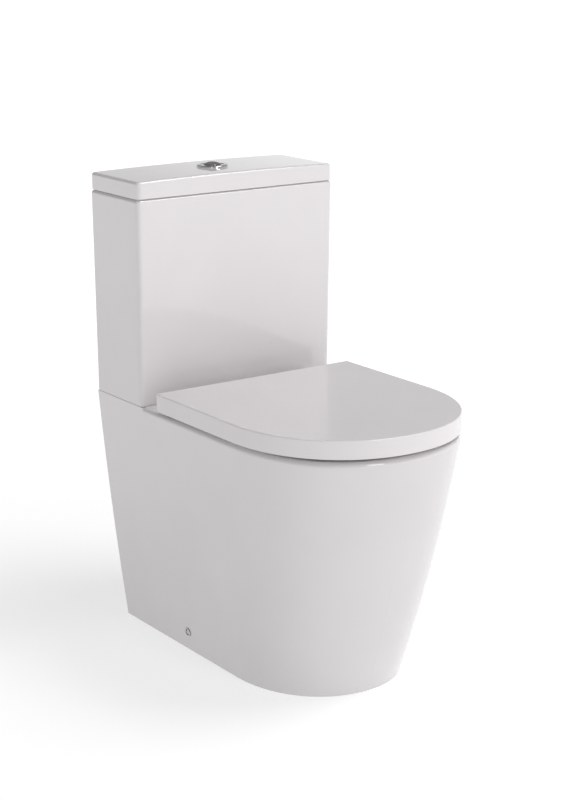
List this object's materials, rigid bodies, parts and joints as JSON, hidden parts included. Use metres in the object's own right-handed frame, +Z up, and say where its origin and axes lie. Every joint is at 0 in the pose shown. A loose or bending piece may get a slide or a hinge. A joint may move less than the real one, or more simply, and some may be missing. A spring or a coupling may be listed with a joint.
{
  "type": "close coupled toilet",
  "caption": "Floor-standing close coupled toilet with a skirted pan, dual-flush cistern and a wrap-over soft-close seat and cover.",
  "frame": {"origin": "on the floor, at the middle of the footprint's box, halfway between the wall plane and the nose of the seat cover", "axes": "+Z up; -Y out of the wall, towards the user's side; +X to the right of someone facing the toilet"},
  "size_m": [0.3708, 0.6, 0.7682],
  "materials": {
    "glazed_china": "high gloss glaze",
    "seat_plastic": "gloss moulded thermoset",
    "chrome": "polished chrome plate",
    "steel": "bright zinc",
    "brass": "machined",
    "black_rubber": "moulded",
    "grey_foam": "soft sponge rubber",
    "clear_rubber": "soft translucent",
    "white_nylon": "moulded",
    "blue_nylon": "moulded",
    "grey_nylon": "moulded",
    "red_silicone": "soft silicone"
  },
  "bodies": {
    "pan_and_cistern": {"pan": "glazed_china", "floor_brackets": "steel", "bracket_nuts": "steel", "side_fixing_cups": "chrome", "side_fixing_screws": "chrome", "cistern_tank": "glazed_china", "tank_gasket": "grey_foam", "tank_cushions": "black_rubber", "tank_bolt_seals": "black_rubber", "tank_bolts": "brass", "tank_bolt_washers": "steel", "tank_wing_nuts": "brass", "flush_valve_washer": "black_rubber", "flush_valve_base": "white_nylon", "flush_valve_nut": "white_nylon", "flush_valve_cage": "white_nylon", "lever_pin": "steel", "fill_valve_washer": "black_rubber", "fill_valve_body": "white_nylon", "fill_valve_nut": "grey_nylon", "inlet_filter": "grey_nylon", "fill_diaphragm": "black_rubber", "fill_valve_cap": "grey_nylon", "float_lever_pin": "steel", "hinge_posts": "chrome", "hinge_pads": "clear_rubber", "hinge_studs": "steel", "hinge_pins": "steel", "hinge_washers": "black_rubber", "hinge_wing_nuts": "white_nylon"},
    "ring": {"seat_ring": "seat_plastic", "ring_buffers": "clear_rubber", "ring_damper": "grey_nylon"},
    "cover": {"seat_cover": "seat_plastic", "cover_buffers": "clear_rubber", "cover_damper": "grey_nylon"},
    "lid": {"cistern_lid": "glazed_china", "button_bezel": "chrome", "button_nut": "grey_nylon", "button_guide": "grey_nylon", "full_flush_spring": "steel", "half_flush_spring": "steel"},
    "full_button": {"full_flush_button": "chrome", "full_flush_rod": "blue_nylon"},
    "half_button": {"half_flush_button": "chrome", "half_flush_rod": "grey_nylon"},
    "flush_piston": {"overflow_tube": "blue_nylon", "flush_seal": "red_silicone", "seal_retainer": "blue_nylon", "valve_float": "grey_nylon", "lift_yoke": "blue_nylon"},
    "full_lever": {"full_flush_lever": "grey_nylon"},
    "half_lever": {"half_flush_lever": "grey_nylon"},
    "float": {"fill_float": "blue_nylon", "float_rod": "grey_nylon"},
    "float_arm": {"float_lever": "grey_nylon"}
  },
  "joints": [
    {"name": "seat_ring_hinge", "type": "hinge", "parent": "pan_and_cistern", "child": "ring", "pos_m": [0, 0.096, 0.424], "axis": [1, 0, 0], "range_deg": [-94, 0]},
    {"name": "seat_cover_hinge", "type": "hinge", "parent": "ring", "child": "cover", "pos_m": [0, 0.096, 0.424], "axis": [-1, 0, 0], "range_deg": [0, 96]},
    {"name": "lid_lift", "type": "slide", "parent": "pan_and_cistern", "child": "lid", "axis": [0, 0, 1], "range_m": [0, 0.2]},
    {"name": "full_flush_press", "type": "slide", "parent": "lid", "child": "full_button", "axis": [0, 0, -1], "range_m": [0, 0.006], "stiffness_N_per_m": 350, "springref_m": -0.012, "deforming": ["full_flush_spring"]},
    {"name": "half_flush_press", "type": "slide", "parent": "lid", "child": "half_button", "axis": [0, 0, -1], "range_m": [0, 0.005], "stiffness_N_per_m": 350, "springref_m": -0.012, "deforming": ["half_flush_spring"]},
    {"name": "flush_lift", "type": "slide", "parent": "pan_and_cistern", "child": "flush_piston", "axis": [0, 0, 1], "range_m": [0, 0.0141]},
    {"name": "full_lever_rock", "type": "hinge", "parent": "pan_and_cistern", "child": "full_lever", "pos_m": [0, 0.229, 0.702], "axis": [0, 1, 0], "range_deg": [0, 27.1]},
    {"name": "half_lever_rock", "type": "hinge", "parent": "pan_and_cistern", "child": "half_lever", "pos_m": [0, 0.229, 0.702], "axis": [0, -1, 0], "range_deg": [0, 30.1]},
    {"name": "float_rise", "type": "slide", "parent": "pan_and_cistern", "child": "float", "axis": [0, 0, 1], "range_m": [0, 0.012]},
    {"name": "float_lever_rock", "type": "hinge", "parent": "pan_and_cistern", "child": "float_arm", "pos_m": [-0.148, 0.229, 0.682], "axis": [0, -1, 0], "range_deg": [0, 25.5]}
  ],
  "couplings": [
    {"joint": "flush_lift", "follows": "full_flush_press", "ratio": 2.3333},
    {"joint": "full_lever_rock", "follows": "full_flush_press", "rad_per_m": 78.54},
    {"joint": "half_lever_rock", "follows": "half_flush_press", "rad_per_m": 104.72},
    {"joint": "float_lever_rock", "follows": "float_rise", "rad_per_m": 36.943}
  ]
}
